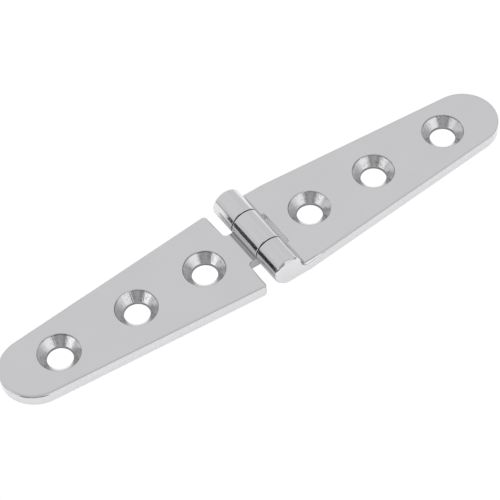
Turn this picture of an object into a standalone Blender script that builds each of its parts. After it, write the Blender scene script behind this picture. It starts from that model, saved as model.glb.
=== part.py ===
"""Strap hinge: two tapered leaves with countersunk screw holes, turning on a hidden pin.

The hinge lies open on its back. The origin is in the plane of the back, below the middle of the pin:
X runs along the leaves, Y along the pin, and Z out of the front, where the knuckles and screw heads are.
"""
import math

import bmesh
import bpy
from mathutils import Matrix

MM = 0.001

# Leaves, as seen from the front
LEAF_REACH = 76.2 * MM  # pin axis to tip
LEAF_THICKNESS = 3.2 * MM
SHOULDER_HALF_WIDTH = 14.45 * MM
SHOULDER_X = 6.6 * MM  # the straight taper starts here, and the tongue leaf is cut back to here
TIP_RADIUS = 9.55 * MM
EDGE_CHAMFER = 0.15 * MM

# Screw holes, the same in both leaves
SCREW_HOLE_X = (16.45 * MM, 37.05 * MM, 59.9 * MM)
HOLE_RADIUS = 3.4 * MM
HEAD_RADIUS = 5.7 * MM
HEAD_HALF_ANGLE = math.radians(45)

# Knuckles: the barrel touches the plane of the back, and stands proud of the front
KNUCKLE_RADIUS = 4.2 * MM
MIDDLE_HALF_LENGTH = 5.4 * MM
KNUCKLE_GAP = 0.3 * MM
END_ROUND = 0.8 * MM
FORK_FILLET = 1.2 * MM
TONGUE_FILLET = 0.4 * MM
NOTCH_X = 5.95 * MM
SLOT_ROUND = 1.2 * MM

# The ends of the barrel are rounded over their free side: angles about the pin, from the leaf over the top
ROUND_START = math.radians(15)
ROUND_END = math.radians(265)
ROUND_FADE = math.radians(40)
ROUND_LEAST = 0.02 * MM

# Pin: pushed in from the far end, to just below its face, and stopped by the blind near knuckle
PIN_RADIUS = 2.0 * MM
PRESS_CLEARANCE = 0.03 * MM
RUNNING_CLEARANCE = 0.06 * MM
BLIND_WALL = 1.5 * MM
PIN_RECESS = 0.1 * MM
PIN_CHAMFER = 0.3 * MM

OVERRUN = 2.0 * MM  # how far a cutter runs past the metal
PIN_SEGMENTS = 40
HOLE_SEGMENTS = 48
BARREL_STEPS = 44
ROUND_STEPS = 36
ARC_STEPS = 6
TIP_STEPS = 20
SHARP_ANGLE = math.radians(30)

POLISHED_STEEL = ("polished_stainless_steel", (0.74, 0.74, 0.75, 1.0), 0.14)
PIN_STEEL = ("ground_stainless_steel", (0.62, 0.62, 0.63, 1.0), 0.3)


def clear_scene():
    for obj in list(bpy.data.objects):
        bpy.data.objects.remove(obj, do_unlink=True)


def steel(spec):
    name, colour, roughness = spec
    material = bpy.data.materials.new(name)
    material.use_nodes = True
    shader = material.node_tree.nodes["Principled BSDF"]
    shader.inputs["Base Color"].default_value = colour
    shader.inputs["Metallic"].default_value = 1.0
    shader.inputs["Roughness"].default_value = roughness
    return material


def arc(centre, radius, start, end, steps):
    """Points along an arc, both ends included."""
    points = []
    for step in range(steps + 1):
        angle = start + (end - start) * step / steps
        points.append((centre[0] + radius * math.cos(angle), centre[1] + radius * math.sin(angle)))
    return points


def add_object(name, bm):
    bmesh.ops.recalc_face_normals(bm, faces=bm.faces)
    mesh = bpy.data.meshes.new(name)
    bm.to_mesh(mesh)
    bm.free()
    mesh.shade_smooth()
    mesh.set_sharp_from_angle(angle=SHARP_ANGLE)
    obj = bpy.data.objects.new(name, mesh)
    bpy.context.scene.collection.objects.link(obj)
    return obj


def extruded(name, outline, low, high):
    """A prism that stands on an outline of x and y, from the height low to the height high."""
    bm = bmesh.new()
    base = bm.faces.new([bm.verts.new((x, y, low)) for x, y in outline])
    top = bmesh.ops.extrude_face_region(bm, geom=[base])
    moved = [item for item in top["geom"] if isinstance(item, bmesh.types.BMVert)]
    bmesh.ops.translate(bm, verts=moved, vec=(0.0, 0.0, high - low))
    return add_object(name, bm)


def lofted(name, sections):
    """Skins a row of sections that have the same number of points, and closes both ends."""
    bm = bmesh.new()
    rings = [[bm.verts.new(point) for point in section] for section in sections]
    count = len(rings[0])
    for ring, following in zip(rings, rings[1:]):
        for index in range(count):
            after = (index + 1) % count
            bm.faces.new((ring[index], ring[after], following[after], following[index]))
    bm.faces.new(rings[0])
    bm.faces.new(rings[-1])
    return add_object(name, bm)


def turned(name, profile, segments):
    """A solid of revolution about Z from a profile of radius and height, with flat ends."""
    turn = 2 * math.pi / segments
    sections = []
    for radius, height in profile:
        corners = arc((0.0, 0.0), radius, 0.0, 2 * math.pi - turn, segments - 1)
        sections.append([(x, y, height) for x, y in corners])
    return lofted(name, sections)


def lay_along_pin(obj):
    """Turns what was modelled upright about Z so that its height runs along +Y."""
    obj.data.transform(Matrix.Rotation(math.radians(-90), 4, "X"))


def combine(target, operand, operation):
    """Cuts the operand out of the target, or keeps what both share, and leaves the operand as a guide."""
    modifier = target.modifiers.new(operand.name, "BOOLEAN")
    modifier.operation = operation
    modifier.solver = "EXACT"
    modifier.object = operand
    operand.parent = target
    operand.hide_render = True
    operand.display_type = "WIRE"


def taper_angle():
    """The angle between a leaf's long edge and its centre line: the edge is tangent to the round tip."""
    run = LEAF_REACH - TIP_RADIUS - SHOULDER_X
    distance = math.hypot(run, SHOULDER_HALF_WIDTH)
    return math.atan2(SHOULDER_HALF_WIDTH, run) - math.asin(TIP_RADIUS / distance)


def half_tip():
    centre = (LEAF_REACH - TIP_RADIUS, 0.0)
    return arc(centre, TIP_RADIUS, 0.0, math.pi / 2 - taper_angle(), TIP_STEPS)


def whole_outline(half, side):
    """Mirrors half of an outline over the centre line, and turns it to the leaf's side of the pin."""
    mirrored = [(x, -y) for x, y in reversed(half[1:])]
    return [(side * x, y) for x, y in half + mirrored]


def fork_outline():
    """The fork seen from the front: its full width reaches past the pin, on both sides of a notch."""
    past_pin = -KNUCKLE_RADIUS - OVERRUN
    past_end = SHOULDER_HALF_WIDTH + OVERRUN * math.tan(taper_angle())
    notch_side = MIDDLE_HALF_LENGTH + KNUCKLE_GAP
    root = [
        (SHOULDER_X - OVERRUN, past_end),
        (past_pin, past_end),
        (past_pin, notch_side),
        (NOTCH_X, notch_side),
    ]
    return whole_outline(half_tip() + root, 1)


def tongue_outline():
    """The tongue seen from the front: square shoulders, and a neck that reaches past the pin."""
    taper = taper_angle()
    corner_drop = SLOT_ROUND * (math.tan(taper) + 1 / math.cos(taper))
    corner_centre = (SHOULDER_X + SLOT_ROUND, SHOULDER_HALF_WIDTH - corner_drop)
    corner = arc(corner_centre, SLOT_ROUND, math.pi / 2 - taper, math.pi, ARC_STEPS)
    slot_centre = (SHOULDER_X - SLOT_ROUND, MIDDLE_HALF_LENGTH + SLOT_ROUND)
    slot = arc(slot_centre, SLOT_ROUND, 0.0, -math.pi / 2, ARC_STEPS)
    past_pin = (-KNUCKLE_RADIUS - OVERRUN, MIDDLE_HALF_LENGTH)
    return whole_outline(half_tip() + corner + slot + [past_pin], -1)


def side_profile(side, fillet):
    """A leaf seen along the pin, from the pin axis: barrel, fillet and plate, with a flush back."""
    back = -KNUCKLE_RADIUS
    front = LEAF_THICKNESS - KNUCKLE_RADIUS
    past_tip = LEAF_REACH + OVERRUN
    fillet_z = front + fillet
    fillet_x = math.sqrt((KNUCKLE_RADIUS + fillet) ** 2 - fillet_z**2)
    meeting = math.atan2(fillet_z, fillet_x)
    hollow = arc((fillet_x, fillet_z), fillet, -math.pi / 2, meeting - math.pi, ARC_STEPS)
    barrel = arc((0.0, 0.0), KNUCKLE_RADIUS, meeting, math.radians(270), BARREL_STEPS)
    points = [(past_tip, back), (past_tip, front)] + hollow + barrel[1:]
    return [(side * x, z) for x, z in points]


def leaf_blank(name, side, fillet, half_length, outline):
    """What the side profile and the outline from the front share, with its origin on the pin axis."""
    profile = [(x, -z) for x, z in side_profile(side, fillet)]
    leaf = extruded(name, profile, -half_length, half_length)
    lay_along_pin(leaf)
    below = -KNUCKLE_RADIUS - OVERRUN
    above = KNUCKLE_RADIUS + OVERRUN
    combine(leaf, extruded(f"{name}_outline", outline, below, above), "INTERSECT")
    leaf.location.z = KNUCKLE_RADIUS
    return leaf


def end_rounding(name, side):
    """A ring that rounds one end of the barrel. It fades out towards the plate, on the front and the back."""
    past_barrel = KNUCKLE_RADIUS + OVERRUN
    past_end = SHOULDER_HALF_WIDTH + OVERRUN
    sections = []
    for step in range(ROUND_STEPS + 1):
        angle = ROUND_START + (ROUND_END - ROUND_START) * step / ROUND_STEPS
        inward = min(angle - ROUND_START, ROUND_END - angle, ROUND_FADE) / ROUND_FADE
        radius = ROUND_LEAST + END_ROUND * math.sin(inward * math.pi / 2) ** 2
        centre = (KNUCKLE_RADIUS - radius + ROUND_LEAST, SHOULDER_HALF_WIDTH - radius + ROUND_LEAST)
        curve = arc(centre, radius, 0.0, math.pi / 2, ARC_STEPS)
        section = [(past_barrel, past_end), (past_barrel, curve[0][1])] + curve + [(curve[-1][0], past_end)]
        sections.append([(out * math.cos(angle), side * y, out * math.sin(angle)) for out, y in section])
    return lofted(name, sections)


def pin_bore(name, radius, low, high):
    bore = turned(name, [(radius, low), (radius, high)], PIN_SEGMENTS)
    lay_along_pin(bore)
    return bore


def screw_hole(name, x):
    """A through hole with a conical seat for the screw's head, cut from the front."""
    front = LEAF_THICKNESS - KNUCKLE_RADIUS
    slope = math.tan(HEAD_HALF_ANGLE)
    seat = front - (HEAD_RADIUS - HOLE_RADIUS) / slope
    profile = [
        (HOLE_RADIUS, -KNUCKLE_RADIUS - OVERRUN),
        (HOLE_RADIUS, seat),
        (HEAD_RADIUS + OVERRUN * slope, front + OVERRUN),
    ]
    hole = turned(name, profile, HOLE_SEGMENTS)
    hole.location.x = x
    return hole


def cut_screw_holes(leaf, side):
    for number, distance in enumerate(SCREW_HOLE_X, start=1):
        combine(leaf, screw_hole(f"{leaf.name}_hole_{number}", side * distance), "DIFFERENCE")


def break_edges(leaf):
    chamfer = leaf.modifiers.new("broken_edges", "BEVEL")
    chamfer.width = EDGE_CHAMFER
    chamfer.segments = 1
    chamfer.limit_method = "ANGLE"
    chamfer.angle_limit = SHARP_ANGLE
    chamfer.use_clamp_overlap = False
    chamfer.harden_normals = True


def build_fork_leaf(material):
    leaf = leaf_blank("fork_leaf", 1, FORK_FILLET, SHOULDER_HALF_WIDTH, fork_outline())
    low = BLIND_WALL - SHOULDER_HALF_WIDTH
    high = SHOULDER_HALF_WIDTH + OVERRUN
    combine(leaf, pin_bore("fork_bore", PIN_RADIUS + PRESS_CLEARANCE, low, high), "DIFFERENCE")
    cut_screw_holes(leaf, 1)
    break_edges(leaf)
    combine(leaf, end_rounding("far_end_rounding", 1), "DIFFERENCE")
    combine(leaf, end_rounding("near_end_rounding", -1), "DIFFERENCE")
    leaf.data.materials.append(material)


def build_tongue_leaf(material):
    past_edge = SHOULDER_HALF_WIDTH + OVERRUN
    leaf = leaf_blank("tongue_leaf", -1, TONGUE_FILLET, past_edge, tongue_outline())
    past_knuckle = MIDDLE_HALF_LENGTH + OVERRUN
    bore = pin_bore("tongue_bore", PIN_RADIUS + RUNNING_CLEARANCE, -past_knuckle, past_knuckle)
    combine(leaf, bore, "DIFFERENCE")
    cut_screw_holes(leaf, -1)
    break_edges(leaf)
    leaf.data.materials.append(material)


def build_pin(material):
    near = BLIND_WALL - SHOULDER_HALF_WIDTH + KNUCKLE_GAP
    far = SHOULDER_HALF_WIDTH - PIN_RECESS
    profile = [(PIN_RADIUS - PIN_CHAMFER, near), (PIN_RADIUS, near + PIN_CHAMFER), (PIN_RADIUS, far)]
    pin = turned("hinge_pin", profile, PIN_SEGMENTS)
    lay_along_pin(pin)
    pin.location.z = KNUCKLE_RADIUS
    pin.data.materials.append(material)


clear_scene()
polished = steel(POLISHED_STEEL)
build_fork_leaf(polished)
build_tongue_leaf(polished)
build_pin(steel(PIN_STEEL))
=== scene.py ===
"""Strap hinge: the finely rounded leaves and pin, their steel finishes, and a plain white studio."""
import math

import bmesh
import bpy
from mathutils import Matrix, Vector


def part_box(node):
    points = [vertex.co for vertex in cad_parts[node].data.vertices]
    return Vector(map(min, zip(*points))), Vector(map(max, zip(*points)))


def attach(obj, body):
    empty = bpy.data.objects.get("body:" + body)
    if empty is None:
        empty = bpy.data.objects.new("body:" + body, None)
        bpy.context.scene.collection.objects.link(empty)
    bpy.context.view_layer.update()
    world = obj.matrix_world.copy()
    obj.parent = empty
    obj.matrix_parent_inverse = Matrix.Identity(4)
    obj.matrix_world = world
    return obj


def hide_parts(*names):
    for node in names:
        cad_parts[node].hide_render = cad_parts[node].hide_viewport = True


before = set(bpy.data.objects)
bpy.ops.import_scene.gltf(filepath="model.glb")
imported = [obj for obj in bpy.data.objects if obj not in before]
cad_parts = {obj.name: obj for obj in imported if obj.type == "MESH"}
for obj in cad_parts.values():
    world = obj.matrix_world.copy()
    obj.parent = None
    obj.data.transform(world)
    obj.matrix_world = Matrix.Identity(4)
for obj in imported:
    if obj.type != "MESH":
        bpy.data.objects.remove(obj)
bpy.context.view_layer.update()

MM = 0.001

# Where things are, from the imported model
FORK_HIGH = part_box("fork_leaf")[1]
PIN_LOW, PIN_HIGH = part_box("hinge_pin")
LEAF_REACH = FORK_HIGH.x
SHOULDER_HALF_WIDTH = FORK_HIGH.y
KNUCKLE_RADIUS = FORK_HIGH.z / 2
PIN_RADIUS = (PIN_HIGH.z - PIN_LOW.z) / 2

# The leaves' other sizes. Angles about the pin are measured from +X over the top.
LEAF_THICKNESS = 3.2 * MM
SHOULDER_X = 6.6 * MM
TIP_RADIUS = 9.55 * MM
SCREW_HOLE_X = (16.45 * MM, 37.05 * MM, 59.9 * MM)
HOLE_RADIUS = 3.4 * MM
HEAD_RADIUS = 5.7 * MM
HEAD_HALF_ANGLE = math.radians(45)
MIDDLE_HALF_LENGTH = 5.4 * MM
KNUCKLE_GAP = 0.3 * MM
END_ROUND = 0.8 * MM
FORK_FILLET = 1.2 * MM
TONGUE_FILLET = 0.4 * MM
NOTCH_X = 5.95 * MM
SLOT_ROUND = 1.2 * MM
BARREL_BOTTOM = math.radians(270)
PRESS_CLEARANCE = 0.03 * MM
RUNNING_CLEARANCE = 0.06 * MM
BLIND_WALL = 1.5 * MM
PIN_CHAMFER = 0.3 * MM

# The ends of the barrel are rounded, and the plate's corners beside them
CORNER_ROUND = 1.2 * MM
CORNER_LEAST = 0.15 * MM
CORNER_START = 15.0 * MM
ROUND_END = math.radians(265)
ROUND_FADE = math.radians(40)
ROUND_LEAST = 0.02 * MM
ROUND_PAST = 0.6 * MM

# The polishing wheel has rolled the front's edges off, and more sharply in the last bit
ROLL_WIDTH = 1.1 * MM
ROLL_DROP = 0.05 * MM
ROLL_EDGE = 0.4 * MM
ROLL_LEAST = 0.004 * MM
ROLL_FADE = 3.0 * MM
ROLL_ROOT_X = 7.0 * MM
SLOT_END = 6.9 * MM

# The polishing wheel has flattened the tongue's side of the whole barrel a few hundredths of a millimetre
FLAT_ANGLE = math.radians(149.5)
FLAT_HALF_WIDTH = math.radians(8)

# Cutters, and the fineness of the visual surfaces
OVERRUN = 2.0 * MM
CUTTER_BACK = OVERRUN / 4
EDGE_ROUND = 0.2 * MM
EDGE_SEGMENTS = 3
EDGE_ANGLE = math.radians(30)
SEAT_MARGIN = EDGE_ROUND / 4
LEVEL = 0.95  # the upward part of a normal from which a face counts as level
PIN_SEGMENTS = 96
HOLE_SEGMENTS = 128
BARREL_STEPS = 132
ROUND_STEPS = 72
PLATE_STEPS = 24
ROLL_STEPS = 6
ROLL_PIECE = ROLL_FADE / 8
ARC_STEPS = 10
TIP_STEPS = 40
SHARP_ANGLE = math.radians(32)
SLIVER = 0.001 * MM


def arc(centre, radius, start, end, steps):
    """Points along an arc, both ends included."""
    points = []
    for step in range(steps + 1):
        angle = start + (end - start) * step / steps
        points.append((centre[0] + radius * math.cos(angle), centre[1] + radius * math.sin(angle)))
    return points


def add_object(name, bm):
    bmesh.ops.recalc_face_normals(bm, faces=bm.faces)
    mesh = bpy.data.meshes.new(name)
    bm.to_mesh(mesh)
    bm.free()
    obj = bpy.data.objects.new(name, mesh)
    bpy.context.scene.collection.objects.link(obj)
    return obj


def extruded(name, outline, low, high):
    """A prism that stands on an outline of x and y, from the height low to the height high."""
    bm = bmesh.new()
    base = bm.faces.new([bm.verts.new((x, y, low)) for x, y in outline])
    top = bmesh.ops.extrude_face_region(bm, geom=[base])
    moved = [item for item in top["geom"] if isinstance(item, bmesh.types.BMVert)]
    bmesh.ops.translate(bm, verts=moved, vec=(0.0, 0.0, high - low))
    return add_object(name, bm)


def lofted(name, *rows):
    """Skins each row of sections that have the same number of points, and closes both ends of the row."""
    bm = bmesh.new()
    for sections in rows:
        rings = [[bm.verts.new(point) for point in section] for section in sections]
        count = len(rings[0])
        for ring, following in zip(rings, rings[1:]):
            for index in range(count):
                after = (index + 1) % count
                bm.faces.new((ring[index], ring[after], following[after], following[index]))
        bm.faces.new(rings[0])
        bm.faces.new(rings[-1])
    return add_object(name, bm)


def turned(name, profile, segments):
    """A solid of revolution about Z from a profile of radius and height, with flat ends."""
    turn = 2 * math.pi / segments
    sections = []
    for radius, height in profile:
        corners = arc((0.0, 0.0), radius, 0.0, 2 * math.pi - turn, segments - 1)
        sections.append([(x, y, height) for x, y in corners])
    return lofted(name, sections)


def lay_along_pin(obj):
    """Turns what was modelled upright about Z so that its height runs along +Y."""
    obj.data.transform(Matrix.Rotation(math.radians(-90), 4, "X"))


def settle(obj):
    """Applies the modifiers, and removes the guides that they used."""
    guides = [modifier.object for modifier in obj.modifiers if modifier.type == "BOOLEAN"]
    depsgraph = bpy.context.evaluated_depsgraph_get()
    mesh = bpy.data.meshes.new_from_object(obj.evaluated_get(depsgraph), depsgraph=depsgraph)
    obj.modifiers.clear()
    obj.data = mesh
    for guide in guides:
        bpy.data.objects.remove(guide, do_unlink=True)


def combine(target, operand, operation):
    """Cuts the operand out of the target, or keeps what both share."""
    modifier = target.modifiers.new(operand.name, "BOOLEAN")
    modifier.operation = operation
    modifier.solver = "EXACT"
    modifier.object = operand


def taper_angle():
    """The angle between a leaf's long edge and its centre line: the edge is tangent to the round tip."""
    run = LEAF_REACH - TIP_RADIUS - SHOULDER_X
    distance = math.hypot(run, SHOULDER_HALF_WIDTH)
    return math.atan2(SHOULDER_HALF_WIDTH, run) - math.asin(TIP_RADIUS / distance)


def half_tip():
    centre = (LEAF_REACH - TIP_RADIUS, 0.0)
    return arc(centre, TIP_RADIUS, 0.0, math.pi / 2 - taper_angle(), TIP_STEPS)


def whole_outline(half, side):
    """Mirrors half of an outline over the centre line, and turns it to the leaf's side of the pin."""
    mirrored = [(x, -y) for x, y in reversed(half[1:])]
    return [(side * x, y) for x, y in half + mirrored]


def fork_outline():
    """The fork seen from the front: its full width reaches past the pin, on both sides of a notch."""
    past_pin = -KNUCKLE_RADIUS - OVERRUN
    past_end = SHOULDER_HALF_WIDTH + OVERRUN * math.tan(taper_angle())
    notch_side = MIDDLE_HALF_LENGTH + KNUCKLE_GAP
    root = [
        (SHOULDER_X - OVERRUN, past_end),
        (past_pin, past_end),
        (past_pin, notch_side),
        (NOTCH_X, notch_side),
    ]
    return whole_outline(half_tip() + root, 1)


def shoulder_corner():
    taper = taper_angle()
    corner_drop = SLOT_ROUND * (math.tan(taper) + 1 / math.cos(taper))
    corner_centre = (SHOULDER_X + SLOT_ROUND, SHOULDER_HALF_WIDTH - corner_drop)
    return arc(corner_centre, SLOT_ROUND, math.pi / 2 - taper, math.pi, ARC_STEPS)


def tongue_outline():
    """The tongue seen from the front: square shoulders, and a neck that reaches past the pin."""
    corner = shoulder_corner()
    slot_centre = (SHOULDER_X - SLOT_ROUND, MIDDLE_HALF_LENGTH + SLOT_ROUND)
    slot = arc(slot_centre, SLOT_ROUND, 0.0, -math.pi / 2, ARC_STEPS)
    past_pin = (-KNUCKLE_RADIUS - OVERRUN, MIDDLE_HALF_LENGTH)
    return whole_outline(half_tip() + corner + slot + [past_pin], -1)


def side_profile(side, fillet):
    """A leaf seen along the pin, from the pin axis: barrel, fillet and plate, with a flush back."""
    back = -KNUCKLE_RADIUS
    front = LEAF_THICKNESS - KNUCKLE_RADIUS
    past_tip = LEAF_REACH + OVERRUN
    fillet_z = front + fillet
    fillet_x = math.sqrt((KNUCKLE_RADIUS + fillet) ** 2 - fillet_z**2)
    meeting = math.atan2(fillet_z, fillet_x)
    hollow = arc((fillet_x, fillet_z), fillet, -math.pi / 2, meeting - math.pi, ARC_STEPS)
    flat_angle = FLAT_ANGLE if side > 0 else math.pi - FLAT_ANGLE
    barrel = []
    for step in range(1, BARREL_STEPS + 1):
        angle = meeting + (BARREL_BOTTOM - meeting) * step / BARREL_STEPS
        radius = KNUCKLE_RADIUS
        if abs(angle - flat_angle) < FLAT_HALF_WIDTH:
            radius *= math.cos(FLAT_HALF_WIDTH) / math.cos(angle - flat_angle)
        barrel.append((radius * math.cos(angle), radius * math.sin(angle)))
    points = [(past_tip, back), (past_tip, front)] + hollow + barrel
    return [(side * x, z) for x, z in points]


def leaf_blank(name, side, fillet, half_length, outline):
    """What the side profile and the outline from the front share, with its origin on the pin axis."""
    profile = [(x, -z) for x, z in side_profile(side, fillet)]
    leaf = extruded(name, profile, -half_length, half_length)
    lay_along_pin(leaf)
    below = -KNUCKLE_RADIUS - OVERRUN
    above = KNUCKLE_RADIUS + OVERRUN
    combine(leaf, extruded(f"{name}_outline", outline, below, above), "INTERSECT")
    return leaf


def eased(share):
    """From 0 to 1, slow at both ends."""
    return math.sin(min(max(share, 0.0), 1.0) * math.pi / 2) ** 2


def edge_half_width(x):
    """Half of a leaf's width at a distance from the pin, up to where the tip begins."""
    return SHOULDER_HALF_WIDTH - max(x - SHOULDER_X, 0.0) * math.tan(taper_angle())


def rounding_path():
    """Steps along the fork's front and round its barrel, each a place, the normal's angle and a radius."""
    front = LEAF_THICKNESS - KNUCKLE_RADIUS
    fillet_z = front + FORK_FILLET
    fillet_x = math.sqrt((KNUCKLE_RADIUS + FORK_FILLET) ** 2 - fillet_z**2)
    meeting = math.atan2(fillet_z, fillet_x)
    path = []
    for step in range(PLATE_STEPS):
        share = step / PLATE_STEPS
        x = CORNER_START + (fillet_x - CORNER_START) * share
        radius = CORNER_LEAST + (CORNER_ROUND - CORNER_LEAST) * eased(share)
        path.append(((x, front), math.pi / 2, radius))
    for step in range(ARC_STEPS):
        angle = -math.pi / 2 + (meeting - math.pi / 2) * step / ARC_STEPS
        place = (fillet_x + FORK_FILLET * math.cos(angle), fillet_z + FORK_FILLET * math.sin(angle))
        path.append((place, angle + math.pi, CORNER_ROUND))
    for step in range(ROUND_STEPS + 1):
        angle = meeting + (ROUND_END - meeting) * step / ROUND_STEPS
        radius = CORNER_ROUND + (END_ROUND - CORNER_ROUND) * eased((angle - meeting) / ROUND_FADE)
        radius *= eased((ROUND_END - angle) / ROUND_FADE)
        place = (KNUCKLE_RADIUS * math.cos(angle), KNUCKLE_RADIUS * math.sin(angle))
        path.append((place, angle, radius + ROUND_LEAST))
    return path


def end_rounding_sections(side):
    """The cutter at each step of the path, outside the surface except along its rounded corner."""
    sections = []
    for (x, z), normal, radius in rounding_path():
        edge = edge_half_width(x)
        centre = (ROUND_LEAST - radius, edge + ROUND_LEAST - radius)
        curve = arc(centre, radius, 0.0, math.pi / 2, ARC_STEPS)
        section = [(ROUND_PAST, edge + OVERRUN), (ROUND_PAST, curve[0][1])]
        section += curve + [(curve[-1][0], edge + OVERRUN)]
        ring = [(x + out * math.cos(normal), side * y, z + out * math.sin(normal)) for out, y in section]
        sections.append(ring)
    return sections


def end_roundings(name):
    """Cutters for the ends of the barrel and the corners beside them, fading on the plate and the back."""
    return lofted(name, end_rounding_sections(1), end_rounding_sections(-1))


def roll_section(strength):
    """The rolled edge as distance outward from the wall and height over the front, and the cutter's back."""
    edge = ROLL_LEAST + ROLL_EDGE * strength
    drop = ROLL_LEAST + ROLL_DROP * strength
    run = ROLL_WIDTH - edge
    points = [(-ROLL_WIDTH - CUTTER_BACK, ROLL_LEAST + CUTTER_BACK)]
    for step in range(ROLL_STEPS + 1):
        along = step / ROLL_STEPS
        points.append((-ROLL_WIDTH + run * along, ROLL_LEAST - drop * along**2))
    tilt = math.atan(2 * drop / run)
    radius = (edge + ROLL_LEAST) / (1 - math.sin(tilt))
    centre = (ROLL_LEAST - radius, points[-1][1] - radius * math.cos(tilt))
    points += arc(centre, radius, math.pi / 2 - tilt, 0.0, ARC_STEPS)[1:]
    points += [(OVERRUN, points[-1][1]), (OVERRUN, ROLL_LEAST + CUTTER_BACK)]
    return points


def edge_roll(name, half, side):
    """The cutter for the front's edge, along half of an outline, from tip to root, and its mirror image."""
    path = [(x, -y) for x, y in reversed(half[1:])] + half
    front = LEAF_THICKNESS - KNUCKLE_RADIUS
    lengths = [0.0]
    for start, end in zip(path, path[1:]):
        lengths.append(lengths[-1] + math.dist(start, end))
    sections = []
    for index, (x, y) in enumerate(path):
        before = path[max(index - 1, 0)]
        after = path[min(index + 1, len(path) - 1)]
        tangent = Vector((after[0] - before[0], after[1] - before[1])).normalized()
        outward = Vector((tangent.y, -tangent.x))
        from_end = min(lengths[index], lengths[-1] - lengths[index])
        ring = []
        for out, up in roll_section(eased(from_end / ROLL_FADE)):
            ring.append((side * (x + outward.x * out), y + outward.y * out, front + up))
        sections.append(ring)
    return lofted(name, sections)


def dense(points, step):
    """Adds points along each straight run, so that no two are further apart than the step."""
    fine = [points[0]]
    for start, end in zip(points, points[1:]):
        pieces = max(1, math.ceil(math.dist(start, end) / step))
        for piece in range(1, pieces + 1):
            share = piece / pieces
            x = start[0] + (end[0] - start[0]) * share
            y = start[1] + (end[1] - start[1]) * share
            fine.append((x, y))
    return fine


def pin_bore(name, radius, low, high):
    bore = turned(name, [(radius, low), (radius, high)], PIN_SEGMENTS)
    lay_along_pin(bore)
    return bore


def screw_hole(name, x):
    """A through hole with a conical seat for the screw's head, cut from the front."""
    front = LEAF_THICKNESS - KNUCKLE_RADIUS
    slope = math.tan(HEAD_HALF_ANGLE)
    seat = front - (HEAD_RADIUS - HOLE_RADIUS) / slope
    profile = [
        (HOLE_RADIUS, -KNUCKLE_RADIUS - OVERRUN),
        (HOLE_RADIUS, seat),
        (HEAD_RADIUS + OVERRUN * slope, front + OVERRUN),
    ]
    hole = turned(name, profile, HOLE_SEGMENTS)
    hole.location.x = x
    return hole


def cut_screw_holes(leaf, side):
    for number, distance in enumerate(SCREW_HOLE_X, start=1):
        combine(leaf, screw_hole(f"{leaf.name}_hole_{number}", side * distance), "DIFFERENCE")


def round_edges(leaf):
    rounding = leaf.modifiers.new("rounded_edges", "BEVEL")
    rounding.width = EDGE_ROUND
    rounding.segments = EDGE_SEGMENTS
    rounding.limit_method = "ANGLE"
    rounding.angle_limit = EDGE_ANGLE
    rounding.use_clamp_overlap = False


def smooth(obj):
    obj.data.shade_smooth()
    obj.data.set_sharp_from_angle(angle=SHARP_ANGLE)
    weighted = obj.modifiers.new("weighted_normals", "WEIGHTED_NORMAL")
    weighted.keep_sharp = True
    weighted.weight = 100
    weighted.mode = "FACE_AREA"


def machined_faces(leaf, side):
    """Gives the seats and walls of the screw holes the second material."""
    for polygon in leaf.data.polygons:
        centre = polygon.center
        for distance in SCREW_HOLE_X:
            off_axis = math.hypot(centre.x - side * distance, centre.y)
            if off_axis < HEAD_RADIUS - SEAT_MARGIN and abs(polygon.normal.z) < LEVEL:
                polygon.material_index = 1


def weld(obj):
    """Removes slivers that the cutters leave where their edges all but meet."""
    bm = bmesh.new()
    bm.from_mesh(obj.data)
    bmesh.ops.dissolve_degenerate(bm, dist=SLIVER, edges=bm.edges)
    bm.to_mesh(obj.data)
    bm.free()


def finish_leaf(leaf, side, body, node):
    weld(leaf)
    leaf.data.materials.append(POLISHED)
    leaf.data.materials.append(TURNED)
    machined_faces(leaf, side)
    smooth(leaf)
    settle(leaf)
    leaf.data.transform(Matrix.Translation((0.0, 0.0, KNUCKLE_RADIUS)))
    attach(leaf, body)
    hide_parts(node)


def build_fork_leaf():
    leaf = leaf_blank("fork_leaf_fine", 1, FORK_FILLET, SHOULDER_HALF_WIDTH, fork_outline())
    low = BLIND_WALL - SHOULDER_HALF_WIDTH
    high = SHOULDER_HALF_WIDTH + OVERRUN
    combine(leaf, pin_bore("fork_bore", PIN_RADIUS + PRESS_CLEARANCE, low, high), "DIFFERENCE")
    cut_screw_holes(leaf, 1)
    round_edges(leaf)
    root = (ROLL_ROOT_X, edge_half_width(ROLL_ROOT_X))
    fade_end = (ROLL_ROOT_X + ROLL_FADE, edge_half_width(ROLL_ROOT_X + ROLL_FADE))
    half = half_tip() + dense([fade_end, root], ROLL_PIECE)
    combine(leaf, edge_roll("fork_edge_roll", half, 1), "DIFFERENCE")
    combine(leaf, end_roundings("fork_end_roundings"), "DIFFERENCE")
    settle(leaf)
    finish_leaf(leaf, 1, "fork", "fork_leaf")


def build_tongue_leaf():
    past_edge = SHOULDER_HALF_WIDTH + OVERRUN
    leaf = leaf_blank("tongue_leaf_fine", -1, TONGUE_FILLET, past_edge, tongue_outline())
    past_knuckle = MIDDLE_HALF_LENGTH + OVERRUN
    bore = pin_bore("tongue_bore", PIN_RADIUS + RUNNING_CLEARANCE, -past_knuckle, past_knuckle)
    combine(leaf, bore, "DIFFERENCE")
    cut_screw_holes(leaf, -1)
    round_edges(leaf)
    root = [(SHOULDER_X, SLOT_END + ROLL_FADE), (SHOULDER_X, SLOT_END)]
    half = half_tip() + shoulder_corner() + dense(root, ROLL_PIECE)
    combine(leaf, edge_roll("tongue_edge_roll", half, -1), "DIFFERENCE")
    settle(leaf)
    finish_leaf(leaf, -1, "tongue", "tongue_leaf")


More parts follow.
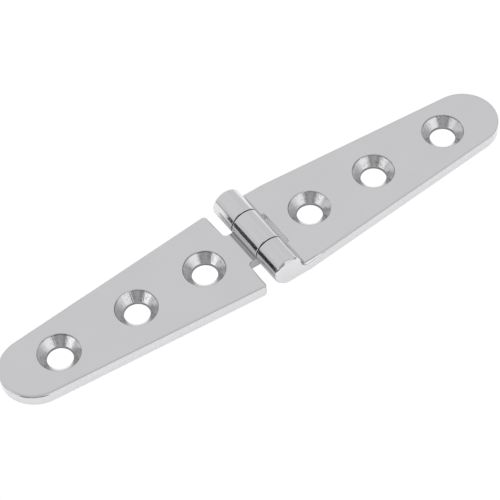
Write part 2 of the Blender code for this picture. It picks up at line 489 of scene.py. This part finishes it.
def build_pin():
    profile = [
        (PIN_RADIUS - PIN_CHAMFER, PIN_LOW.y),
        (PIN_RADIUS, PIN_LOW.y + PIN_CHAMFER),
        (PIN_RADIUS, PIN_HIGH.y),
    ]
    pin = turned("hinge_pin_fine", profile, PIN_SEGMENTS)
    lay_along_pin(pin)
    pin.data.materials.append(GROUND)
    smooth(pin)
    settle(pin)
    pin.data.transform(Matrix.Translation((0.0, 0.0, KNUCKLE_RADIUS)))
    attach(pin, "fork")
    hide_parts("hinge_pin")


# Finishes

STEEL_DARK = (0.722, 0.722, 0.737, 1)
STEEL_LIGHT = (0.742, 0.742, 0.758, 1)
# Painted shade: the darker grey that the fillets' crevice is tinted with
CREVICE_PAINTED_SHADE = (0.42, 0.42, 0.43, 1)
SEAT_DARK = (0.66, 0.66, 0.675, 1)
SEAT_LIGHT = (0.73, 0.73, 0.745, 1)
SPOT_STEEL = (0.45, 0.45, 0.46, 1)
RIM_STEEL = (0.25, 0.25, 0.26, 1)
PIN_DARK = (0.56, 0.56, 0.57, 1)
PIN_LIGHT = (0.66, 0.66, 0.67, 1)

# Which part of a noise's values is spread over the whole of what it drives
SMEAR_BAND = (0.3, 0.7)
LINE_BAND = (0.35, 0.65)
SPOT_BAND = (0.54, 0.68)
RIM_BAND = (0.38, 0.55)

# Roughness from where the metal is least worn to where it is most, and what lines and crevices add
POLISHED_ROUGHNESS = (0.045, 0.09)
SEAT_ROUGHNESS = (0.1, 0.18)
PIN_ROUGHNESS = (0.22, 0.34)
LINE_ROUGHNESS = 0.02
CREVICE_ROUGHNESS = 0.22
SEAT_RING_ROUGHNESS = 0.05
PIN_RING_ROUGHNESS = 0.06

# How finely the marks repeat along each axis
WHEEL_LINES = (60.0, 2600.0, 2600.0)
SCRATCHES = (900.0, 90.0, 900.0)
SEAT_RINGS = (40.0, 40.0, 5200.0)
PIN_RINGS = (60.0, 4200.0, 60.0)
HOLE_SHIFT = 300.0  # how fast the chatter marks differ from hole to hole

SCRATCH_DEPTH = 0.5  # beside the wheel's lines
SPOT_SHARE = 0.7
RIM_LEAST = 0.25

# Where each fades, from start to end: the screw seats' rim, and the sides of the fillets' crevice
RIM_RISE = (LEAF_THICKNESS - 0.34 * MM, LEAF_THICKNESS - 0.18 * MM)
CREVICE_TOP = (LEAF_THICKNESS + 0.35 * MM, LEAF_THICKNESS + 0.6 * MM)
CREVICE_BOTTOM = (LEAF_THICKNESS - 0.1 * MM, LEAF_THICKNESS - 0.02 * MM)
CREVICE_INNER = (KNUCKLE_RADIUS - 0.3 * MM, KNUCKLE_RADIUS - 0.1 * MM)
CREVICE_OUTER = (KNUCKLE_RADIUS + 0.75 * MM, KNUCKLE_RADIUS + 1.15 * MM)


class Nodes:
    """Builds a node tree a few words at a time."""

    def __init__(self, tree):
        self.tree = tree

    def add(self, kind, inputs=None, **settings):
        node = self.tree.nodes.new(kind)
        for name, value in settings.items():
            setattr(node, name, value)
        for name, value in (inputs or {}).items():
            if isinstance(value, bpy.types.NodeSocket):
                self.tree.links.new(value, node.inputs[name])
            else:
                node.inputs[name].default_value = value
        return node

    def math(self, operation, first, second=0.0, third=0.0):
        return self.add("ShaderNodeMath", {0: first, 1: second, 2: third}, operation=operation).outputs[0]

    def spread(self, value, low, high, to_low, to_high, smooth_step=False):
        kind = "SMOOTHSTEP" if smooth_step else "LINEAR"
        inputs = {"Value": value, "From Min": low, "From Max": high, "To Min": to_low, "To Max": to_high}
        return self.add("ShaderNodeMapRange", inputs, interpolation_type=kind).outputs["Result"]

    def noise(self, vector, scale, detail, rough):
        inputs = {"Vector": vector, "Scale": scale, "Detail": detail, "Roughness": rough}
        return self.add("ShaderNodeTexNoise", inputs).outputs["Fac"]

    def stretch(self, vector, scale):
        return self.add("ShaderNodeMapping", {"Vector": vector, "Scale": scale}).outputs["Vector"]

    def bump(self, height, strength, distance, **beneath):
        inputs = {"Strength": strength, "Distance": distance, "Height": height, **beneath}
        return self.add("ShaderNodeBump", inputs).outputs["Normal"]


def new_material(name):
    material = bpy.data.materials.new(name)
    material.use_nodes = True
    material.node_tree.nodes.clear()
    nodes = Nodes(material.node_tree)
    place = nodes.add("ShaderNodeTexCoord").outputs["Object"]
    return material, nodes, place


def steel_shader(nodes, colour, roughness, normal):
    inputs = {"Base Color": colour, "Metallic": 1.0, "Roughness": roughness, "Normal": normal}
    shader = nodes.add("ShaderNodeBsdfPrincipled", inputs)
    nodes.add("ShaderNodeOutputMaterial", {"Surface": shader.outputs["BSDF"]})


def tint(nodes, amount, first, second):
    """From the first colour, where the amount is 0, to the second, where it is 1."""
    return nodes.add("ShaderNodeMix", {0: amount, 6: first, 7: second}, data_type="RGBA").outputs[2]


def in_crevice(nodes, place):
    """1 in the fillets by the barrel, which the wheel does not reach, and 0 elsewhere: rougher there, with
    painted shade.
    """
    parts = nodes.add("ShaderNodeSeparateXYZ", {"Vector": place})
    height = parts.outputs["Z"]
    off_pin = nodes.math("ABSOLUTE", parts.outputs["X"])
    top = nodes.spread(height, *CREVICE_TOP, 1.0, 0.0, True)
    bottom = nodes.spread(height, *CREVICE_BOTTOM, 0.0, 1.0)
    inner = nodes.spread(off_pin, *CREVICE_INNER, 0.0, 1.0)
    outer = nodes.spread(off_pin, *CREVICE_OUTER, 1.0, 0.0, True)
    upright = nodes.math("MULTIPLY", top, bottom)
    return nodes.math("MULTIPLY", upright, nodes.math("MULTIPLY", inner, outer))


def polished_steel():
    """Mirror-polished stainless steel: faint lines from the wheel along the leaves, smears, scratches, and
    painted shade in the fillets.
    """
    material, nodes, place = new_material("polished_stainless_steel")
    crevice = in_crevice(nodes, place)
    smears = nodes.noise(place, scale=90.0, detail=4.0, rough=0.6)
    lines = nodes.noise(nodes.stretch(place, WHEEL_LINES), scale=1.0, detail=3.0, rough=0.6)
    scratches = nodes.noise(nodes.stretch(place, SCRATCHES), scale=1.0, detail=2.0, rough=0.6)
    colour = tint(nodes, nodes.spread(smears, *SMEAR_BAND, 0.0, 1.0), STEEL_DARK, STEEL_LIGHT)
    worn = nodes.spread(smears, *SMEAR_BAND, *POLISHED_ROUGHNESS)
    roughness = nodes.math("ADD", worn, nodes.spread(lines, *LINE_BAND, 0.0, LINE_ROUGHNESS))
    roughness = nodes.math("MULTIPLY_ADD", crevice, CREVICE_ROUGHNESS, roughness)
    # Painted shade: the colour darkens in the fillets' crevice, where shade falls
    colour = tint(nodes, crevice, colour, CREVICE_PAINTED_SHADE)
    height = nodes.math("ADD", lines, nodes.math("MULTIPLY", scratches, SCRATCH_DEPTH))
    steel_shader(nodes, colour, roughness, nodes.bump(height, strength=0.06, distance=0.02 * MM))
    return material


def round_the_hole(nodes, place):
    """The direction from the nearest screw hole's axis, as a unit vector with a Z that grows along X."""
    parts = nodes.add("ShaderNodeSeparateXYZ", {"Vector": place})
    off_pin = nodes.math("ABSOLUTE", parts.outputs["X"])
    centre = SCREW_HOLE_X[0]
    for near, far in zip(SCREW_HOLE_X, SCREW_HOLE_X[1:]):
        beyond = nodes.math("GREATER_THAN", off_pin, (near + far) / 2)
        centre = nodes.math("MULTIPLY_ADD", beyond, far - near, centre)
    inputs = {"X": nodes.math("SUBTRACT", off_pin, centre), "Y": parts.outputs["Y"]}
    spoke = nodes.add("ShaderNodeCombineXYZ", inputs).outputs["Vector"]
    spoke = nodes.add("ShaderNodeVectorMath", {0: spoke}, operation="NORMALIZE").outputs["Vector"]
    lift = nodes.math("MULTIPLY", parts.outputs["X"], HOLE_SHIFT)
    lifted = nodes.add("ShaderNodeCombineXYZ", {"Z": lift}).outputs["Vector"]
    return nodes.add("ShaderNodeVectorMath", {0: spoke, 1: lifted}, operation="ADD").outputs["Vector"]


def turned_steel():
    """The screw seats as the cutter left them: chatter marks across, fine rings round, and worn spots."""
    material, nodes, place = new_material("turned_stainless_steel")
    spokes = nodes.noise(round_the_hole(nodes, place), scale=5.5, detail=3.0, rough=0.6)
    height = nodes.add("ShaderNodeSeparateXYZ", {"Vector": place}).outputs["Z"]
    rim = nodes.spread(height, *RIM_RISE, 0.0, 1.0)
    rings = nodes.noise(nodes.stretch(place, SEAT_RINGS), scale=1.0, detail=3.0, rough=0.7)
    smears = nodes.noise(place, scale=260.0, detail=3.0, rough=0.6)
    spots = nodes.noise(place, scale=1500.0, detail=3.0, rough=0.65)
    colour = tint(nodes, nodes.spread(rings, *LINE_BAND, 0.0, 1.0), SEAT_DARK, SEAT_LIGHT)
    colour = tint(nodes, nodes.spread(spots, *SPOT_BAND, 0.0, SPOT_SHARE, True), colour, SPOT_STEEL)
    worn_rim = nodes.math("MULTIPLY", rim, nodes.spread(smears, *RIM_BAND, RIM_LEAST, 1.0))
    colour = tint(nodes, worn_rim, colour, RIM_STEEL)
    worn = nodes.spread(smears, *SMEAR_BAND, *SEAT_ROUGHNESS)
    roughness = nodes.math("ADD", worn, nodes.spread(rings, *LINE_BAND, 0.0, SEAT_RING_ROUGHNESS))
    chatter = nodes.bump(spokes, strength=1.0, distance=0.06 * MM)
    pitted = nodes.bump(spots, strength=0.3, distance=0.03 * MM, Normal=chatter)
    ringed = nodes.bump(rings, strength=0.12, distance=0.03 * MM, Normal=pitted)
    steel_shader(nodes, colour, roughness, ringed)
    return material


def ground_steel():
    """The pin: ground round its length, and duller than the leaves."""
    material, nodes, place = new_material("ground_stainless_steel")
    rings = nodes.noise(nodes.stretch(place, PIN_RINGS), scale=1.0, detail=3.0, rough=0.6)
    smears = nodes.noise(place, scale=700.0, detail=3.0, rough=0.6)
    colour = tint(nodes, smears, PIN_DARK, PIN_LIGHT)
    worn = nodes.spread(smears, *SMEAR_BAND, *PIN_ROUGHNESS)
    roughness = nodes.math("ADD", worn, nodes.spread(rings, *LINE_BAND, 0.0, PIN_RING_ROUGHNESS))
    steel_shader(nodes, colour, roughness, nodes.bump(rings, strength=0.2, distance=0.03 * MM))
    return material


# The studio

FLOOR_HALF = 3.0
CAMERA_WHITE = 1.02

# The floor that the metal mirrors, just under the leaves
FLOOR_HEIGHT = -0.02 * MM
FLOOR_GLOW = 0.45
FLOOR_ALBEDO = 0.9

# The floor that the camera sees, below the leaf's swing. Its glow grows from the middle outward.
SWING_CLEARANCE = 3.0 * MM
DEEP_GLOW = 0.25
DEEP_FAR_GLOW = 1.0
DEEP_NEAR = 30.0 * MM
DEEP_FAR = 160.0 * MM
DEEP_ALBEDO = 0.1

# A black card lies flat on the floor beyond the tongue, hidden from the camera. The barrel mirrors it.
CARD = ((-0.042, 0.019), (-0.042, 0.033), (-0.26, 0.180), (-0.26, -0.12), (-0.092, -0.12), (-0.092, 0.016))
CARD_BLACK = 0.01
CARD_ROUGHNESS = 0.9

# Sheets of painted shade under the gaps in the leaves, hidden from the camera as well. The metal mirrors
# them.
SHADE_HEIGHT = -0.01 * MM
NOTCH_SHADE_START = KNUCKLE_RADIUS - 0.5 * MM
NOTCH_GLOW = 0.3
SLOT_GLOW = 0.25
HOLE_SHADED = 0.3
HOLE_LIT = 1.0
HOLE_FADE = 1.6 * MM
LIGHT_FROM = math.radians(63)


def floor_material(name, glow, far_glow, albedo):
    """Plain white to the camera. The metal mirrors its glow and the light that it throws back."""
    material, nodes, place = new_material(name)
    seen = nodes.add("ShaderNodeLightPath").outputs["Is Camera Ray"]
    distance = nodes.add("ShaderNodeVectorMath", {0: place}, operation="LENGTH").outputs["Value"]
    strength = nodes.spread(distance, DEEP_NEAR, DEEP_FAR, glow, far_glow, True)
    own = nodes.add("ShaderNodeEmission", {"Strength": strength})
    thrown = nodes.add("ShaderNodeBsdfDiffuse", {"Color": (albedo, albedo, albedo, 1.0)})
    mirrored = nodes.add("ShaderNodeAddShader", {0: own.outputs[0], 1: thrown.outputs[0]})
    plain = nodes.add("ShaderNodeEmission", {"Strength": CAMERA_WHITE})
    both = nodes.add("ShaderNodeMixShader", {0: seen, 1: mirrored.outputs[0], 2: plain.outputs[0]})
    nodes.add("ShaderNodeOutputMaterial", {"Surface": both.outputs[0]})
    return material


def build_floor(name, height, glow, far_glow, albedo, shown):
    bm = bmesh.new()
    bmesh.ops.create_grid(bm, x_segments=1, y_segments=1, size=FLOOR_HALF)
    floor = add_object(name, bm)
    floor.location.z = height
    floor.data.materials.append(floor_material(name, glow, far_glow, albedo))
    floor.visible_camera = shown


def build_floors():
    """One floor for the metal to mirror and, below the leaf's swing, one for the camera to see."""
    lowest = KNUCKLE_RADIUS - math.hypot(LEAF_REACH, KNUCKLE_RADIUS)
    build_floor("mirrored_floor", FLOOR_HEIGHT, FLOOR_GLOW, FLOOR_GLOW, FLOOR_ALBEDO, False)
    build_floor("floor", lowest - SWING_CLEARANCE, DEEP_GLOW, DEEP_FAR_GLOW, DEEP_ALBEDO, True)


def lay_card(name, outline, height, brightness, glow=0.0):
    bm = bmesh.new()
    bm.faces.new([bm.verts.new((x, y, height)) for x, y in outline])
    card = add_object(name, bm)
    material = bpy.data.materials.new(name)
    material.use_nodes = True
    shader = material.node_tree.nodes["Principled BSDF"]
    shader.inputs["Base Color"].default_value = (brightness, brightness, brightness, 1.0)
    shader.inputs["Roughness"].default_value = CARD_ROUGHNESS
    shader.inputs["Emission Color"].default_value = (1.0, 1.0, 1.0, 1.0)
    shader.inputs["Emission Strength"].default_value = glow
    card.data.materials.append(material)
    card.visible_camera = False


def hole_shade_material():
    """A glow in place of real shading: dim on the side where light would come from, bright on the other."""
    material, nodes, place = new_material("hole_shade")
    inputs = {0: place, 1: (math.cos(LIGHT_FROM), math.sin(LIGHT_FROM), 0.0)}
    along = nodes.add("ShaderNodeVectorMath", inputs, operation="DOT_PRODUCT").outputs["Value"]
    level = nodes.spread(along, -HOLE_FADE, HOLE_FADE, HOLE_LIT, HOLE_SHADED, True)
    glow = nodes.add("ShaderNodeEmission", {"Strength": level})
    nodes.add("ShaderNodeOutputMaterial", {"Surface": glow.outputs[0]})
    return material


def shade_holes():
    """Discs that stand in for what shows through the screw holes, for the metal to mirror."""
    material = hole_shade_material()
    for side in (1, -1):
        for distance in SCREW_HOLE_X:
            bm = bmesh.new()
            bmesh.ops.create_circle(bm, cap_ends=True, segments=HOLE_SEGMENTS, radius=HOLE_RADIUS)
            disc = add_object(f"hole_shade_{distance / MM:.0f}_{'fork' if side > 0 else 'tongue'}", bm)
            disc.location = (side * distance, 0.0, SHADE_HEIGHT)
            disc.data.materials.append(material)
            disc.visible_camera = False


def rectangle(x_low, x_high, y_low, y_high):
    return [(x_low, y_low), (x_high, y_low), (x_high, y_high), (x_low, y_high)]


def lay_cards():
    lay_card("black_card", CARD, 0.0, CARD_BLACK)
    notch_side = MIDDLE_HALF_LENGTH + KNUCKLE_GAP
    notch = rectangle(NOTCH_SHADE_START, NOTCH_X, -notch_side, notch_side)
    # Painted shade: a dim sheet under the notch stands in for the floor's shadow there
    lay_card("notch_shade", notch, SHADE_HEIGHT, FLOOR_ALBEDO, NOTCH_GLOW)
    slots = {
        "near_slot_shade": (-SHOULDER_HALF_WIDTH, -MIDDLE_HALF_LENGTH),
        "far_slot_shade": (MIDDLE_HALF_LENGTH, SHOULDER_HALF_WIDTH),
    }
    for name, (low, high) in slots.items():
        slot = rectangle(-SHOULDER_X, -KNUCKLE_RADIUS / 2, low, high)
        # Painted shade: dim sheets under the slots stand in for the floor's shadow there
        lay_card(name, slot, SHADE_HEIGHT, FLOOR_ALBEDO, SLOT_GLOW)
    shade_holes()


# The surround that the metal mirrors. It is uneven, and set for the camera's angle below. It goes
# in belts from the horizon up, each a compass direction, in degrees from +X towards +Y, and its brightness.
DOME_LIGHT = 0.77
HORIZON = (
    (-180.0, 0.02),
    (-20.0, 0.02),
    (-5.0, 0.8),
    (144.5, 0.85),
    (146.5, 0.01),
    (180.0, 0.01),
)
LOW_BELT = (
    (-180.0, 1.4),
    (-169.0, 1.4),
    (-165.0, 0.25),
    (-148.0, 0.25),
    (-142.0, 0.55),
    (-114.0, 0.5),
    (-109.0, 0.25),
    (-98.0, 0.25),
    (-92.0, 1.2),
    (-65.0, 1.15),
    (-45.0, 0.95),
    (-20.0, 0.6),
    (5.0, 0.5),
    (25.0, 0.72),
    (60.0, DOME_LIGHT),
    (130.0, DOME_LIGHT),
    (154.0, 0.68),
    (164.0, 1.4),
    (180.0, 1.4),
)
HIGH_BELT = (
    (-180.0, 0.8),
    (-169.0, 0.8),
    (-164.0, 0.3),
    (-148.0, 0.3),
    (-142.0, 0.45),
    (-114.0, 0.4),
    (-109.0, 0.25),
    (-98.0, 0.3),
    (-91.0, 1.1),
    (-60.0, 1.1),
    (-30.0, DOME_LIGHT),
    (35.0, DOME_LIGHT),
    (45.0, 0.72),
    (65.0, DOME_LIGHT),
    (140.0, DOME_LIGHT),
    (165.0, DOME_LIGHT),
    (180.0, 0.8),
)
DOME_BELT = (
    (-180.0, 0.5),
    (-110.0, 0.5),
    (-98.0, 1.0),
    (-62.0, 1.0),
    (-48.0, 0.55),
    (-20.0, 0.55),
    (20.0, DOME_LIGHT),
    (138.0, DOME_LIGHT),
    (154.0, 0.5),
    (180.0, 0.5),
)


# The heights, in degrees, over which each belt takes over from the one below it, and the zenith dims
LOW_RISE = (7.0, 10.0)
HIGH_RISE = (27.0, 34.0)
DOME_RISE = (41.0, 47.0)
ZENITH_RISE = (54.0, 72.0)
ZENITH_SHARE = 0.82


def by_compass(nodes, compass, steps):
    """A belt's brightness in a compass direction, which runs from 0 to 1. A new ramp has two elements."""
    ramp = nodes.add("ShaderNodeValToRGB", {"Fac": compass})
    elements = ramp.color_ramp.elements
    for number, (angle, value) in enumerate(steps):
        position = angle / 360 + 0.5
        element = elements[number] if number < 2 else elements.new(position)
        element.position = position
        element.color = (value, value, value, 1.0)
    return ramp.outputs["Color"]


def light_studio():
    """The belts, which blend into each other with height. The camera sees white in their place."""
    world = bpy.data.worlds.new("studio")
    bpy.context.scene.world = world
    world.use_nodes = True
    world.node_tree.nodes.clear()
    nodes = Nodes(world.node_tree)
    direction = nodes.add("ShaderNodeTexCoord").outputs["Generated"]
    parts = nodes.add("ShaderNodeSeparateXYZ", {"Vector": direction})
    x, y, z = (parts.outputs[name] for name in "XYZ")
    height = nodes.math("DEGREES", nodes.math("ARCSINE", z))
    compass = nodes.math("MULTIPLY_ADD", nodes.math("ARCTAN2", y, x), 1 / (2 * math.pi), 0.5)
    light = by_compass(nodes, compass, HORIZON)
    zenith = nodes.spread(height, *ZENITH_RISE, 1.0, ZENITH_SHARE, True)
    dome = nodes.math("MULTIPLY", by_compass(nodes, compass, DOME_BELT), zenith)
    belts = (
        (LOW_RISE, by_compass(nodes, compass, LOW_BELT)),
        (HIGH_RISE, by_compass(nodes, compass, HIGH_BELT)),
        (DOME_RISE, dome),
    )
    for rise, belt in belts:
        amount = nodes.spread(height, *rise, 0.0, 1.0, True)
        inputs = {"Factor": amount, "A": light, "B": belt}
        light = nodes.add("ShaderNodeMix", inputs, data_type="FLOAT").outputs[0]
    seen = nodes.add("ShaderNodeLightPath").outputs["Is Camera Ray"]
    strength = nodes.math("MAXIMUM", light, seen)
    background = nodes.add("ShaderNodeBackground", {"Color": (1.0, 1.0, 1.0, 1.0), "Strength": strength})
    nodes.add("ShaderNodeOutputWorld", {"Surface": background.outputs["Background"]})


# The camera faces the origin from this angle, and is then moved sideways and up by the shifts
AZIMUTH = math.radians(-30.757)
ELEVATION = math.radians(51.923)
ROLL = math.radians(-4.935)
DISTANCE = 558.99 * MM
SHIFT_RIGHT = -2.046 * MM
SHIFT_UP = -1.14 * MM
LENS = 156.14
SENSOR = 36.0
CLIP_START = 50.0 * MM


def place_camera():
    back = Vector((
        math.sin(AZIMUTH) * math.cos(ELEVATION),
        -math.cos(AZIMUTH) * math.cos(ELEVATION),
        math.sin(ELEVATION),
    ))
    level = Vector((math.cos(AZIMUTH), math.sin(AZIMUTH), 0.0))
    upright = back.cross(level)
    right = level * math.cos(ROLL) + upright * math.sin(ROLL)
    up = upright * math.cos(ROLL) - level * math.sin(ROLL)
    camera = bpy.data.objects.new("camera", bpy.data.cameras.new("camera"))
    camera.data.lens = LENS
    camera.data.sensor_width = SENSOR
    camera.data.clip_start = CLIP_START
    turn = Matrix((right, up, back)).transposed().to_4x4()
    place = back * DISTANCE + right * SHIFT_RIGHT + up * SHIFT_UP
    camera.matrix_world = Matrix.Translation(place) @ turn
    bpy.context.scene.collection.objects.link(camera)
    bpy.context.scene.camera = camera


POLISHED = polished_steel()
TURNED = turned_steel()
GROUND = ground_steel()
build_fork_leaf()
build_tongue_leaf()
build_pin()
build_floors()
lay_cards()
light_studio()
place_camera()
bpy.context.scene.view_settings.view_transform = "Standard"
